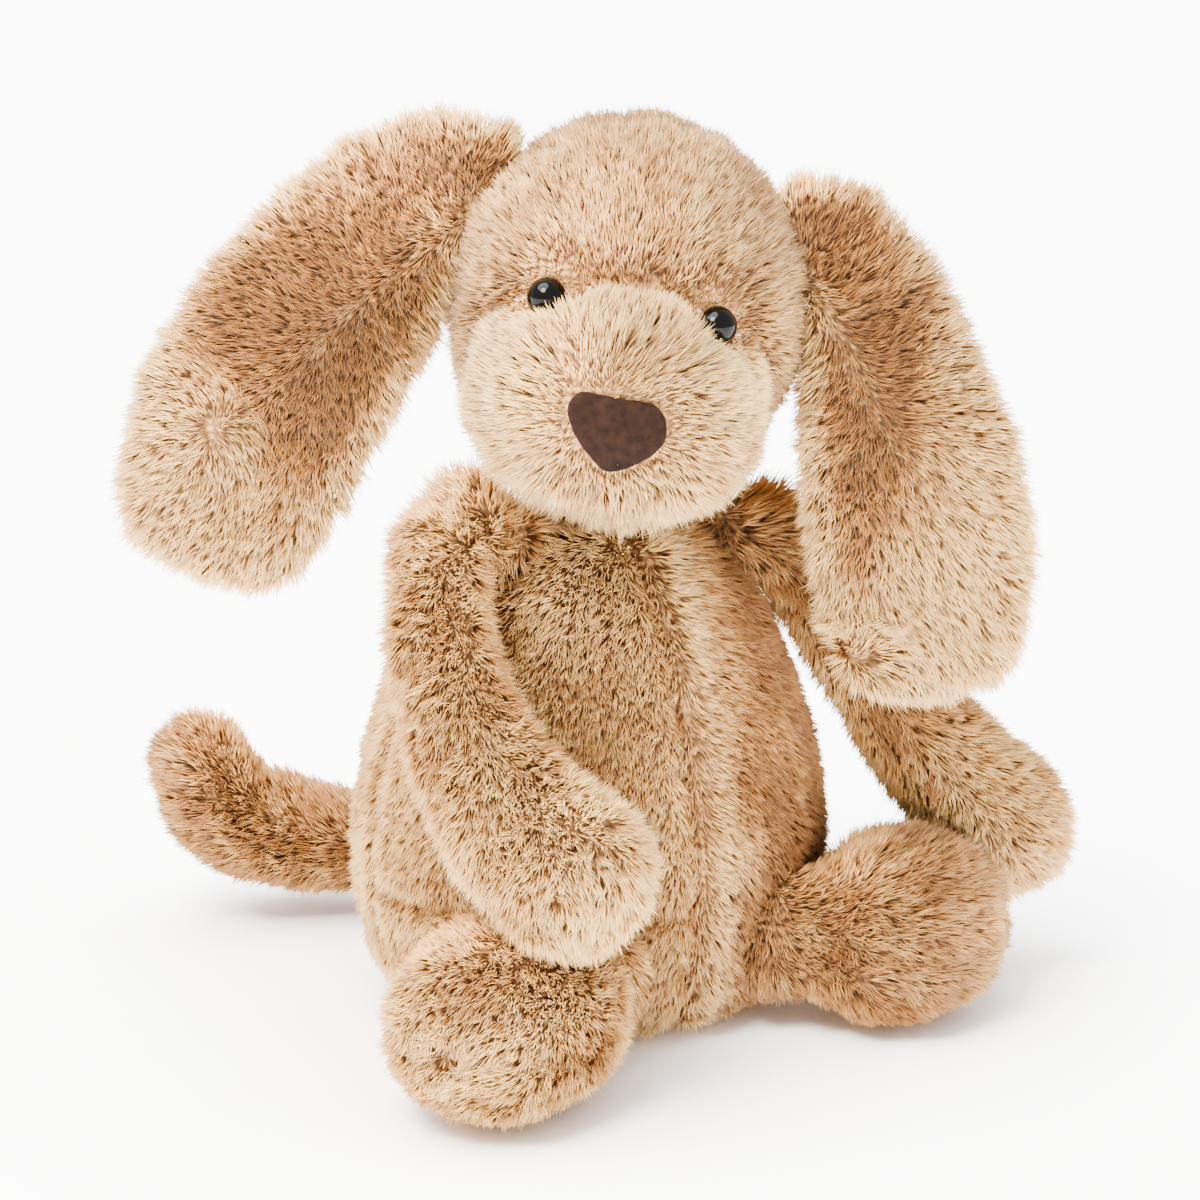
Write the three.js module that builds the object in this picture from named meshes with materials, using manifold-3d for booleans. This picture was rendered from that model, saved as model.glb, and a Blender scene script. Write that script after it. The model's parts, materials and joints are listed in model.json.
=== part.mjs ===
// A seated plush dog, sewn from long-pile panels over separate stuffing, with bean pouches in
// its seat and feet, floppy ears, hanging arms, a curled tail, safety eyes and a suede nose.
// Millimetres, +Z up. The torso faces -Y and +X is the dog's left. The origin is the middle of
// the flat sitting face. The pile is not part of these solids: they are the backing fabric.

import * as THREE from 'three';
import { mergeVertices } from 'three/addons/utils/BufferGeometryUtils.js';
import manifoldModule from 'manifold-3d';

const wasm = await manifoldModule();
wasm.setup();

// ---------------------------------------------------------------- driving dimensions
const fabric = 1.4;             // thickness of the backing cloth
const sewGap = 0.45;            // clearance between pieces that are sewn or packed together
const jointGap = 0.7;           // clearance of a limb's round root in its seat
const torso = { height: 113, halfWidth: 55, halfDepth: 50, baseShare: 7 / 11, basePanelShare: 0.58 };
const neck = { radius: 16, back: 6, side: 2 };
const head = {
  halfWidth: 37.5, halfDepth: 38, halfHeight: 41.5, rise: 51.5, forward: 15, side: 1.5, yaw: -28, roll: 9.7,
};
const muzzle = { halfWidth: 31, halfDepth: 23, halfHeight: 22, forward: 33, drop: 17 };
const gussetAngle = 24;         // half of the centre gusset's width over the head, degrees
const chinSeam = 0.65;          // where the crown meets the chin panel, as a share of the way round the head
const nose = { width: 21.5, height: 16, thickness: 1.6, drop: 18.5 };
const eye = { diameter: 9, height: 4.6, spacing: 36.4, rise: 4.4, shank: 2.6, shankLength: 6.5, washer: 9.5 };
const ear = {
  rootHalfWidth: 12.5, halfThickness: 4.4, rise: 20, tuck: -1.1, neckHalfThickness: 3.5, tipLength: 20,
};
const arm = { rootRadius: 9.5, pawHalfWidth: 16, pawHalfThickness: 13.5, height: 110, standOff: 4.5 };
const leg = { rootRadius: 15, footHalfWidth: 22, footHalfHeight: 20, floorGap: 0.9 };
const tail = { rootRadius: 9.5, halfWidth: 13, floorGap: 1.2, rise: 4, standOff: 4 };
const label = { width: 14, height: 18, thickness: 0.5 };

const plushLight = 0xe2c394;
const deg = Math.PI / 180;
const rows = { cap: 3, body: 6 };
const columns = { limb: 12, torso: 20, head: 20 };

// ---------------------------------------------------------------- materials
const plush = () => new THREE.MeshStandardMaterial({ color: plushLight, roughness: 1, metalness: 0 });
const lining = () => new THREE.MeshStandardMaterial({ color: 0xc99a67, roughness: 1, metalness: 0 });
const stuffing = () => new THREE.MeshStandardMaterial({ color: 0xf4f1ea, roughness: 1, metalness: 0 });
const beans = () => new THREE.MeshStandardMaterial({ color: 0xd9d4c8, roughness: 0.8, metalness: 0 });
const suede = () => new THREE.MeshStandardMaterial({ color: 0x4a2e22, roughness: 0.95, metalness: 0 });
const gloss = () => new THREE.MeshStandardMaterial({ color: 0x0b0a0a, roughness: 0.08, metalness: 0 });
const plastic = () => new THREE.MeshStandardMaterial({ color: 0xe8e6e0, roughness: 0.5, metalness: 0 });
const ribbon = () => new THREE.MeshStandardMaterial({ color: 0xf7f5f0, roughness: 0.7, metalness: 0 });

// ---------------------------------------------------------------- closed surfaces
// A surface is a function at(u, v): u runs from pole to pole and v around, both from 0 to 1.
// Its rows are the values of u where facets meet, and its columns how many facets go around.

const mix = (a, b, t) => a + (b - a) * t;
const shares = (size, parts) => parts.map((part) => size * part);

// Smooth interpolation through a list of values at equal steps.
function along(values, t) {
  const curve = new THREE.SplineCurve(values.map((value, i) => new THREE.Vector2(i, value)));
  return curve.getPoint(Math.min(Math.max(t, 0), 1)).y;
}

// The outward direction at (u, v), from small steps on the surface.
function outward(surface, u, v) {
  const step = 1e-3;
  if (u < step || u > 1 - step) return surface.poleDirection(u < 0.5);
  const du = surface.at(u + step / 2, v).sub(surface.at(u - step / 2, v));
  const dv = surface.at(u, v + step).sub(surface.at(u, v - step));
  return dv.cross(du).negate().normalize();
}

const inset = (surface, u, v, depth) => surface.at(u, v).addScaledVector(outward(surface, u, v), -depth);

// A closed mesh from points and faces, as one indexed geometry.
function closedMesh(points, faces) {
  const geometry = new THREE.BufferGeometry();
  geometry.setAttribute('position', new THREE.Float32BufferAttribute(points.flatMap((p) => p.toArray()), 3));
  geometry.setIndex(faces.flat());
  const volume = faces.reduce((sum, [a, b, c]) => sum + points[a].dot(points[b].clone().cross(points[c])), 0);
  if (volume < 0) geometry.setIndex(faces.flatMap(([a, b, c]) => [a, c, b]));
  return geometry;
}

// The solid inside a surface between two of its rows, at a depth below it.
function core(surface, depth, firstRow = 0, lastRow = surface.rows.length - 1) {
  const count = surface.columns;
  const points = [];
  const faces = [];
  const ring = (row) => {
    const start = points.length;
    for (let j = 0; j < count; j++) points.push(inset(surface, surface.rows[row], j / count, depth));
    return start;
  };
  const middle = (start) => {
    const centre = new THREE.Vector3();
    for (let j = 0; j < count; j++) centre.add(points[start + j]);
    points.push(centre.divideScalar(count));
    return points.length - 1;
  };
  const fan = (pole, start, flip) => {
    for (let j = 0; j < count; j++) {
      const next = start + (j + 1) % count;
      faces.push(flip ? [pole, next, start + j] : [pole, start + j, next]);
    }
  };
  const poleAt = (u) => points.push(inset(surface, u, 0, depth)) - 1;
  const openStart = firstRow > 0;
  const openEnd = lastRow < surface.rows.length - 1;
  let previous = ring(openStart ? firstRow : 1);
  fan(openStart ? middle(previous) : poleAt(0), previous, false);
  const startRow = openStart ? firstRow : 1;
  const endRow = openEnd ? lastRow : surface.rows.length - 2;
  for (let row = startRow + 1; row <= endRow; row++) {
    const current = ring(row);
    for (let j = 0; j < count; j++) {
      const k = (j + 1) % count;
      faces.push([previous + j, current + j, previous + k], [current + j, current + k, previous + k]);
    }
    previous = current;
  }
  fan(openEnd ? middle(previous) : poleAt(1), previous, true);
  return closedMesh(points, faces);
}

// A cloth panel over part of a surface: rows from u0 to u1 and columns from v0 to v1, with half
// the sewing gap left along each edge.
function panel(surface, u0, u1, v0, v1) {
  const us = [u0, ...surface.rows.filter((u) => u > u0 + 0.01 && u < u1 - 0.01), u1];
  const steps = Math.round((v1 - v0) * surface.columns);
  const points = [];
  const faces = [];
  const grid = [0, fabric].map((depth) => us.map((u, i) => {
    const [uBefore, uAfter] = [us[Math.max(i - 1, 0)], us[Math.min(i + 1, us.length - 1)]];
    const length = surface.at(uBefore, v0).distanceTo(surface.at(uAfter, v0));
    const perRow = length / Math.max(uAfter - uBefore, 1e-6);
    let uu = u;
    if (i === 0) uu += sewGap / 2 / perRow;
    if (i === us.length - 1) uu -= sewGap / 2 / perRow;
    const perTurn = surface.at(uu, v0 + 0.01).distanceTo(surface.at(uu, v0 - 0.01)) / 0.02;
    const shy = Math.min(sewGap / 2 / perTurn, 0.4 / surface.columns);
    return Array.from({ length: steps + 1 }, (_, j) => {
      let v = mix(v0, v1, j / steps);
      if (j === 0) v += shy;
      if (j === steps) v -= shy;
      return points.push(inset(surface, uu, v, depth)) - 1;
    });
  }));
  const quad = (a, b, c, d) => faces.push([a, b, c], [a, c, d]);
  const [outer, inner] = grid;
  const last = us.length - 1;
  for (let i = 0; i < last; i++) {
    for (let j = 0; j < steps; j++) {
      quad(outer[i + 1][j], outer[i + 1][j + 1], outer[i][j + 1], outer[i][j]);
      quad(inner[i][j + 1], inner[i + 1][j + 1], inner[i + 1][j], inner[i][j]);
    }
    quad(outer[i][0], inner[i][0], inner[i + 1][0], outer[i + 1][0]);
    quad(outer[i][steps], outer[i + 1][steps], inner[i + 1][steps], inner[i][steps]);
  }
  for (let j = 0; j < steps; j++) {
    quad(outer[0][j], outer[0][j + 1], inner[0][j + 1], inner[0][j]);
    quad(outer[last][j], inner[last][j], inner[last][j + 1], outer[last][j + 1]);
  }
  return closedMesh(points, faces);
}

// A cloth cap over one pole of a surface, out to u1.
function capPanel(surface, u1, fromEnd = false) {
  const pick = (u) => (fromEnd ? 1 - u : u);
  const inside = surface.rows.map((u) => pick(u)).filter((u) => u > 0.01 && u < u1 - 0.01);
  inside.sort((a, b) => a - b);
  const us = [...inside, u1];
  const count = surface.columns;
  const points = [];
  const faces = [];
  const layers = [0, fabric].map((depth) => {
    const pole = points.push(inset(surface, pick(0), 0, depth)) - 1;
    const rings = us.map((u, i) => {
      const perRow = surface.at(pick(u), 0).distanceTo(surface.at(pick(u - 0.02), 0)) / 0.02;
      const uu = i === us.length - 1 ? u - sewGap / 2 / perRow : u;
      const around = Array.from({ length: count }, (_, j) => j / count);
      return around.map((v) => points.push(inset(surface, pick(uu), v, depth)) - 1);
    });
    return { pole, rings };
  });
  layers.forEach(({ pole, rings }, layer) => {
    const add = (a, b, c) => faces.push(layer ? [a, c, b] : [a, b, c]);
    for (let j = 0; j < count; j++) {
      const k = (j + 1) % count;
      add(pole, rings[0][j], rings[0][k]);
      for (let i = 0; i + 1 < rings.length; i++) {
        const [near, far] = [rings[i], rings[i + 1]];
        add(near[j], far[j], fromEnd ? far[k] : near[k]);
        add(fromEnd ? near[j] : far[j], far[k], near[k]);
      }
    }
  });
  const [outerRim, innerRim] = layers.map(({ rings }) => rings[rings.length - 1]);
  for (let j = 0; j < count; j++) {
    const k = (j + 1) % count;
    faces.push([outerRim[j], innerRim[j], outerRim[k]], [innerRim[j], innerRim[k], outerRim[k]]);
  }
  return closedMesh(points, faces);
}

// ---------------------------------------------------------------- booleans
function toSolid(geometry, matrix = null) {
  const source = geometry.clone();
  if (matrix) source.applyMatrix4(matrix);
  source.deleteAttribute('normal');
  source.deleteAttribute('uv');
  const merged = mergeVertices(source, 1e-4);
  const mesh = new wasm.Mesh({
    numProp: 3,
    vertProperties: Float32Array.from(merged.attributes.position.array),
    triVerts: Uint32Array.from(merged.index.array),
  });
  return new wasm.Manifold(mesh);
}

function toGeometry(solid) {
  const mesh = solid.getMesh();
  const geometry = new THREE.BufferGeometry();
  geometry.setAttribute('position', new THREE.BufferAttribute(Float32Array.from(mesh.vertProperties), 3));
  geometry.setIndex(new THREE.BufferAttribute(Uint32Array.from(mesh.triVerts), 1));
  return geometry;
}

const cut = (geometry, tools) => (
  toGeometry(tools.reduce((solid, tool) => solid.subtract(tool), toSolid(geometry))));

// A ball as a cutting tool.
function ballTool(centre, radius) {
  const ball = new THREE.SphereGeometry(radius, 16, 10);
  return toSolid(ball.translate(centre.x, centre.y, centre.z));
}

// ---------------------------------------------------------------- shapes of the stuffed pieces
// A limb follows a curve with a round or flattened section: a round root around its first point,
// and a rounded end past its last one. flat is the direction that its thickness is measured in.
function limbSurface({ path, widths, thicknesses, flat, tipLength }) {
  const curve = new THREE.CatmullRomCurve3(path, false, 'centripetal');
  const capShare = 0.16;
  const sections = (t) => [along(widths, t), along(thicknesses, t)];
  const frameAt = (t) => {
    const tangent = curve.getTangent(t);
    const side = new THREE.Vector3().crossVectors(tangent, flat).normalize();
    return { tangent, side, up: new THREE.Vector3().crossVectors(side, tangent).normalize() };
  };
  const rootLength = thicknesses[0];
  const at = (u, v) => {
    const inRoot = u < capShare;
    const inTip = u > 1 - capShare;
    const t = inRoot ? 0 : inTip ? 1 : (u - capShare) / (1 - 2 * capShare);
    const capAngle = (inRoot ? u : 1 - u) / capShare * 90 * deg;
    const swell = inRoot || inTip ? Math.sin(capAngle) : 1;
    const push = inRoot ? -Math.cos(u / capShare * 90 * deg) * rootLength
      : inTip ? Math.cos((1 - u) / capShare * 90 * deg) * tipLength : 0;
    const { tangent, side, up } = frameAt(t);
    const [width, thickness] = sections(t);
    const angle = v * 360 * deg;
    const flatShare = Math.min(Math.max(Math.cos(angle) * Math.SQRT2, -1), 1);
    const across = flatShare * (width - thickness) + Math.cos(angle) * thickness;
    return curve.getPoint(t)
      .addScaledVector(tangent, push)
      .addScaledVector(side, across * swell)
      .addScaledVector(up, Math.sin(angle) * thickness * swell);
  };
  const capRows = Array.from({ length: rows.cap }, (_, i) => i / rows.cap * capShare);
  const bodySteps = Array.from({ length: rows.body + 1 }, (_, i) => i / rows.body);
  const bodyRows = bodySteps.map((share) => mix(capShare, 1 - capShare, share));
  return {
    at,
    rows: [...capRows, ...bodyRows, ...capRows.map((u) => 1 - u).reverse()],
    columns: columns.limb,
    poleDirection: (start) => frameAt(start ? 0 : 1).tangent.multiplyScalar(start ? -1 : 1),
    frameAt,
    curve,
  };
}

// The torso stands on its flat base and narrows to a small flat at the neck.
const torsoProfile = [
  [0.001, 0], [torso.baseShare, 0], [0.82, 0.035], [0.935, 0.115], [0.99, 0.24], [1, 0.38], [0.955, 0.52],
  [0.87, 0.65], [0.755, 0.78], [0.62, 0.885], [0.46, 0.962], [0.3, 1], [0.001, 1]];

const torsoSurface = (() => {
  const last = torsoProfile.length - 1;
  const at = (u, v) => {
    const place = Math.min(Math.max(u, 0), 1) * last;
    const i = Math.min(Math.floor(place), last - 1);
    const share = mix(torsoProfile[i][0], torsoProfile[i + 1][0], place - i);
    const z = mix(torsoProfile[i][1], torsoProfile[i + 1][1], place - i) * torso.height;
    const angle = -(v * 360 + 90) * deg;
    const [x, y] = [Math.cos(angle) * torso.halfWidth, Math.sin(angle) * torso.halfDepth];
    return new THREE.Vector3(x * share, y * share, z);
  };
  return {
    at,
    rows: torsoProfile.map((_, i) => i / last),
    columns: columns.torso,
    poleDirection: (start) => new THREE.Vector3(0, 0, start ? -1 : 1),
    last,
  };
})();

// Where the torso's side is, at a height and at an angle from straight ahead (+ to the left).
function torsoSide(z, angleFromFront, outwardBy = 0) {
  const level = z / torso.height;
  const i = torsoProfile.findIndex((entry, k) => k > 1 && entry[1] >= level);
  const [from, to] = [torsoProfile[i - 1], torsoProfile[i]];
  const share = mix(from[0], to[0], (level - from[1]) / (to[1] - from[1]));
  const direction = new THREE.Vector3(Math.sin(angleFromFront * deg), -Math.cos(angleFromFront * deg), 0);
  const radius = share / Math.hypot(direction.x / torso.halfWidth, direction.y / torso.halfDepth);
  return direction.multiplyScalar(radius + outwardBy).setZ(z);
}

// The head is a ball with a large round muzzle on its lower front. Its poles are at its sides.
const headSurface = (() => {
  const heart = new THREE.Vector3(0, -muzzle.forward * 0.3, -muzzle.drop * 0.25);
  const balls = [
    { centre: new THREE.Vector3(),
      radii: new THREE.Vector3(head.halfWidth, head.halfDepth, head.halfHeight) },
    { centre: new THREE.Vector3(0, -muzzle.forward, -muzzle.drop),
      radii: new THREE.Vector3(muzzle.halfWidth, muzzle.halfDepth, muzzle.halfHeight) },
  ];
  const reach = (direction, { centre, radii }) => {
    const from = heart.clone().sub(centre).divide(radii);
    const way = direction.clone().divide(radii);
    const [a, b, c] = [way.dot(way), from.dot(way), from.dot(from) - 1];
    const root = b * b - a * c;
    return root < 0 ? 0 : Math.max((-b + Math.sqrt(root)) / a, 0);
  };
  const at = (u, v) => {
    const [polar, around] = [u * 180 * deg, v * 360 * deg];
    const level = Math.sin(polar);
    const direction = new THREE.Vector3(
      -Math.cos(polar), -level * Math.cos(around), level * Math.sin(around));
    const [skull, snout] = balls.map((ball) => reach(direction, ball));
    const far = Math.max(skull, snout);
    const near = Math.min(skull, snout);
    const soft = Math.max(1 - (far - near) / 7, 0);
    return heart.clone().addScaledVector(direction, far + soft * soft * 1.75);
  };
  return {
    at,
    rows: Array.from({ length: 13 }, (_, i) => i / 12),
    columns: columns.head,
    poleDirection: (start) => new THREE.Vector3(start ? -1 : 1, 0, 0),
  };
})();

// ---------------------------------------------------------------- assembly helpers
const dog = new THREE.Group();

function piece(parent, name, geometry, material) {
  const mesh = new THREE.Mesh(geometry, material);
  mesh.name = name;
  parent.add(mesh);
  return mesh;
}

const vec = (x, y, z) => new THREE.Vector3(x, y, z);

// ---------------------------------------------------------------- limbs
// Each limb starts at a seat on the torso's side, and the rest of its curve is given from there.
const legHeight = leg.footHalfHeight + leg.floorGap;

function makeLeg(angleFromFront, steps) {
  const root = torsoSide(legHeight, angleFromFront, -2);
  // the steps suit a foot 44 mm wide: a wider foot stands further out
  const spread = leg.footHalfWidth / 22;
  const path = [root, ...steps.map(([x, y]) => vec(x * spread, y * spread, 0).add(root))];
  const surface = limbSurface({
    path,
    widths: [...shares(leg.rootRadius, [1, 0.9]), ...shares(leg.footHalfWidth, [0.9, 1, 0.96])],
    thicknesses: [...shares(leg.rootRadius, [1, 0.9]), ...shares(leg.footHalfHeight, [0.93, 1, 1])],
    flat: vec(0, 0, 1),
    tipLength: leg.footHalfWidth * 0.86,
  });
  return { root, radius: leg.rootRadius, surface };
}

function makeArm(angleFromFront, height, flat, steps) {
  const root = torsoSide(height, angleFromFront, arm.standOff);
  const path = [root, ...steps.map(([x, y, z]) => vec(x, y, z).add(root))];
  const surface = limbSurface({
    path,
    widths: [...shares(arm.rootRadius, [1, 0.86, 0.95]), ...shares(arm.pawHalfWidth, [0.8, 1])],
    thicknesses: [...shares(arm.rootRadius, [1, 0.82, 0.9]), ...shares(arm.pawHalfThickness, [0.85, 1])],
    flat,
    tipLength: arm.pawHalfWidth * 0.85,
  });
  return { root, radius: arm.rootRadius, surface };
}

function makeTail() {
  const height = tail.rootRadius + tail.floorGap + tail.rise;
  const root = torsoSide(height, 190, tail.standOff);
  const steps = [[-6, 12, 1], [-21, 25, 3], [-39, 31, 7], [-51, 32, 15], [-56, 31, 25]];
  const surface = limbSurface({
    path: [root, ...steps.map(([x, y, z]) => vec(x, y, z).add(root))],
    widths: [...shares(tail.rootRadius, [1, 0.9]), ...shares(tail.halfWidth, [0.95, 1, 0.8])],
    thicknesses: [...shares(tail.rootRadius, [1, 0.9]), ...shares(tail.halfWidth, [0.9, 0.95, 0.75])],
    flat: vec(0, 0, 1),
    tipLength: tail.halfWidth,
  });
  return { root, radius: tail.rootRadius, surface };
}

const limbs = {
  leg_right: makeLeg(-32, [[-10, -9], [-23, -18], [-33, -24]]),
  leg_left: makeLeg(36, [[9.5, -9], [20.5, -14], [32, -8]]),
  arm_right: makeArm(-80, arm.height, vec(-0.5, -0.8, 0.3),
    [[-9, -4, 8], [-19, -11, 4], [-25, -22, -13], [-25, -36, -32], [-21, -52, -47], [-16, -68, -55]]),
  arm_left: makeArm(80, arm.height - 5, vec(0.6, -0.75, 0.3),
    [[9, -3, 2], [17, -8, -6], [27, -15, -25], [38, -22, -43], [49, -28, -57], [58, -33, -68]]),
  tail: makeTail(),
};

// ---------------------------------------------------------------- torso
const torsoGroup = new THREE.Group();
dog.add(torsoGroup);
const limbSeats = Object.values(limbs).map(({ root, radius }) => ballTool(root, radius + jointGap));

function buildTorso() {
  const row = (i) => i / torsoSurface.last;
  const [low, high] = [row(1), row(torsoSurface.last - 1)];
  const sides = [
    ['torso_front_panel_left', 0.75, 1],
    ['torso_front_panel_right', 0, 0.25],
    ['torso_back_panel_left', 0.5, 0.75],
    ['torso_back_panel_right', 0.25, 0.5],
  ];
  for (const [name, v0, v1] of sides) {
    piece(torsoGroup, name, cut(panel(torsoSurface, low, high, v0, v1), limbSeats), plush());
  }
  const discRadius = Math.min(torso.halfWidth, torso.halfDepth) * torso.basePanelShare;
  const disc = new THREE.CylinderGeometry(discRadius, discRadius, fabric, 32);
  disc.rotateX(90 * deg).translate(0, 0, fabric / 2);
  piece(torsoGroup, 'torso_base_panel', disc, lining());
  const packed = fabric + sewGap;
  const beanTop = 4;
  piece(torsoGroup, 'seat_bean_pouch', cut(core(torsoSurface, packed, 0, beanTop), limbSeats), beans());
  const fill = cut(core(torsoSurface, packed, 0, torsoSurface.last), limbSeats);
  const lift = torsoProfile[beanTop][1] * torso.height + sewGap;
  const below = toSolid(new THREE.BoxGeometry(4 * torso.halfWidth, 4 * torso.halfDepth, 2 * lift));
  piece(torsoGroup, 'torso_stuffing', cut(fill, [below]), stuffing());
}
buildTorso();

function buildCareLabel() {
  const height = torso.height * 0.2;
  const angle = 118;
  const seam = torsoSide(height, angle, label.width / 2 + 1.2);
  const tag = new THREE.BoxGeometry(label.width, label.thickness, label.height);
  const mesh = piece(torsoGroup, 'care_label', tag, ribbon());
  mesh.position.copy(seam);
  mesh.rotation.z = (angle - 90) * deg;
}
buildCareLabel();

// ---------------------------------------------------------------- limbs' pieces
function buildLimb(name, firstPanel, secondPanel, footPouch) {
  const group = new THREE.Group();
  dog.add(group);
  const { surface } = limbs[name];
  const packed = fabric + sewGap;
  const ends = 0.02;
  piece(group, `${name}_${firstPanel}`, panel(surface, ends, 1 - ends, 0, 0.5), plush());
  piece(group, `${name}_${secondPanel}`, panel(surface, ends, 1 - ends, 0.5, 1), plush());
  if (!footPouch) {
    piece(group, `${name}_stuffing`, core(surface, packed), stuffing());
    return;
  }
  const lastBody = surface.rows.length - 1 - rows.cap;
  piece(group, `${name}_stuffing`, core(surface, packed, 0, lastBody - 1), stuffing());
  piece(group, `${name}_bean_pouch`, core(surface, packed, lastBody, surface.rows.length - 1), beans());
}
buildLimb('arm_right', 'outer_panel', 'inner_panel', false);
buildLimb('arm_left', 'outer_panel', 'inner_panel', false);
buildLimb('leg_right', 'upper_panel', 'lower_panel', true);
buildLimb('leg_left', 'upper_panel', 'lower_panel', true);
buildLimb('tail', 'upper_panel', 'lower_panel', false);

// ---------------------------------------------------------------- neck
const neckCentre = vec(neck.side, -neck.back, torso.height + jointGap + neck.radius);

function buildNeck() {
  const group = new THREE.Group();
  group.position.copy(neckCentre);
  dog.add(group);
  const arc = (radius, angles) => angles.map((angle) => (
    new THREE.Vector2(Math.cos(angle * deg) * radius, Math.sin(angle * deg) * radius)));
  const open = 66;
  const angles = [-3, -2, -1, 0, 1, 2, 3].map((step) => step / 3 * open);
  const band = [...arc(neck.radius, angles), ...arc(neck.radius - fabric, angles.toReversed())];
  const skin = new THREE.LatheGeometry([...band, band[0].clone()], 16);
  skin.rotateX(90 * deg);
  piece(group, 'neck_skin', skin, plush());
  const inside = neck.radius - fabric - sewGap;
  const ends = [-inside, inside].map((y) => new THREE.Vector2(0, y));
  const ball = new THREE.LatheGeometry([ends[0], ...arc(inside, angles), ends[1]], 16);
  ball.rotateX(90 * deg);
  piece(group, 'neck_stuffing', ball, stuffing());
}
buildNeck();

// ---------------------------------------------------------------- head
const headGroup = new THREE.Group();
headGroup.position.set(head.side, -head.forward, torso.height + head.rise);
headGroup.quaternion.setFromEuler(new THREE.Euler(0, head.roll * deg, head.yaw * deg, 'ZYX'));
dog.add(headGroup);
headGroup.updateMatrixWorld(true);
const toHead = headGroup.matrixWorld.clone().invert();

// The front of the head at a sideways and a vertical place, by stepping out until it is passed.
function headFront(x, z) {
  const samples = [];
  for (let u = 0.02; u < 0.99; u += 0.01) {
    for (let v = -0.24; v < 0.25; v += 0.01) samples.push([u, v]);
  }
  const miss = ([u, v]) => {
    const p = headSurface.at(u, v);
    return Math.hypot(p.x - x, p.z - z);
  };
  const [u, v] = samples.reduce((best, next) => (miss(next) < miss(best) ? next : best));
  const point = headSurface.at(u, v);
  return { point: vec(x, point.y, z), direction: outward(headSurface, u, v) };
}

const eyes = [['right', -1], ['left', 1]].map(([side, sign]) => {
  const { point, direction } = headFront(sign * eye.spacing / 2, eye.rise);
  const turn = new THREE.Quaternion().setFromUnitVectors(vec(0, 1, 0), direction);
  return { side, point, turn };
});

// An eye: a low dome with a shank, turned on its own axis, which points out of the head.
function eyeGeometry() {
  const radius = eye.diameter / 2;
  const base = 0.35;
  const dome = Array.from({ length: 7 }, (_, i) => {
    const angle = i / 6 * 90 * deg;
    return new THREE.Vector2(Math.cos(angle) * radius, base + Math.sin(angle) * eye.height);
  });
  dome[6].x = 0;
  const shank = eye.shank / 2;
  return new THREE.LatheGeometry([
    new THREE.Vector2(0, -eye.shankLength), new THREE.Vector2(shank, -eye.shankLength),
    new THREE.Vector2(shank, base), ...dome], 20);
}

function washerGeometry() {
  const [hole, rim] = [eye.shank / 2 + 0.3, eye.washer / 2];
  const top = -fabric - 2 * sewGap;
  const profile = [[hole, top], [hole, top - 1.4], [rim, top - 1.4], [rim, top], [hole, top]];
  return new THREE.LatheGeometry(profile.map(([x, y]) => new THREE.Vector2(x, y)), 20);
}

// The round pocket that a fastener needs along the eye's axis.
function eyePocket({ point, turn }, radius, top, bottom) {
  const pocket = new THREE.CylinderGeometry(radius, radius, top - bottom, 24);
  pocket.translate(0, (top + bottom) / 2, 0);
  return toSolid(pocket, new THREE.Matrix4().compose(point, turn, vec(1, 1, 1)));
}

// ---------------------------------------------------------------- ears
// The curve of each ear, from its seam on the head's side, in the head's own directions.
const earRoot = (sign) => {
  const level = Math.sqrt(1 - (ear.rise / head.halfHeight) ** 2);
  return vec(sign * (head.halfWidth * level - ear.tuck), 2, ear.rise);
};

function makeEar(sign, steps, widths, tilt) {
  const root = earRoot(sign);
  const path = [root, ...steps.map(([x, y, z]) => vec(sign * x, y, z).add(root))];
  const flat = vec(sign * tilt, -1, 0.1).normalize();
  const surface = limbSurface({
    path,
    widths: [ear.rootHalfWidth, ...widths],
    thicknesses: [ear.halfThickness, ear.neckHalfThickness, ...shares(ear.halfThickness, [1, 1, 1])],
    flat,
    tipLength: ear.tipLength,
  });
  return { root, surface, axis: surface.frameAt(0).side };
}

const ears = {
  right: makeEar(-1,
    [[10, -1, 1], [18.5, -3, -7], [28, -6, -22], [37, -9, -39], [44, -11, -57], [48, -12, -75]],
    [13, 17.5, 21, 23.5, 24.5, 22.5], 0.1),
  left: makeEar(1,
    [[10, -1, 1], [18, -4, -8], [25.5, -7, -24], [33, -10, -41], [39, -12, -58], [44, -12, -76]],
    [12, 14, 18, 22, 23.5, 21.5], 0.1),
};

function seamSeat({ root, axis }) {
  const slot = ear.halfThickness + jointGap;
  const seat = new THREE.CapsuleGeometry(slot, 2 * ear.rootHalfWidth - slot, 4, 16);
  const turn = new THREE.Quaternion().setFromUnitVectors(vec(0, 1, 0), axis);
  return toSolid(seat, new THREE.Matrix4().compose(root, turn, vec(1, 1, 1)));
}

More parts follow.
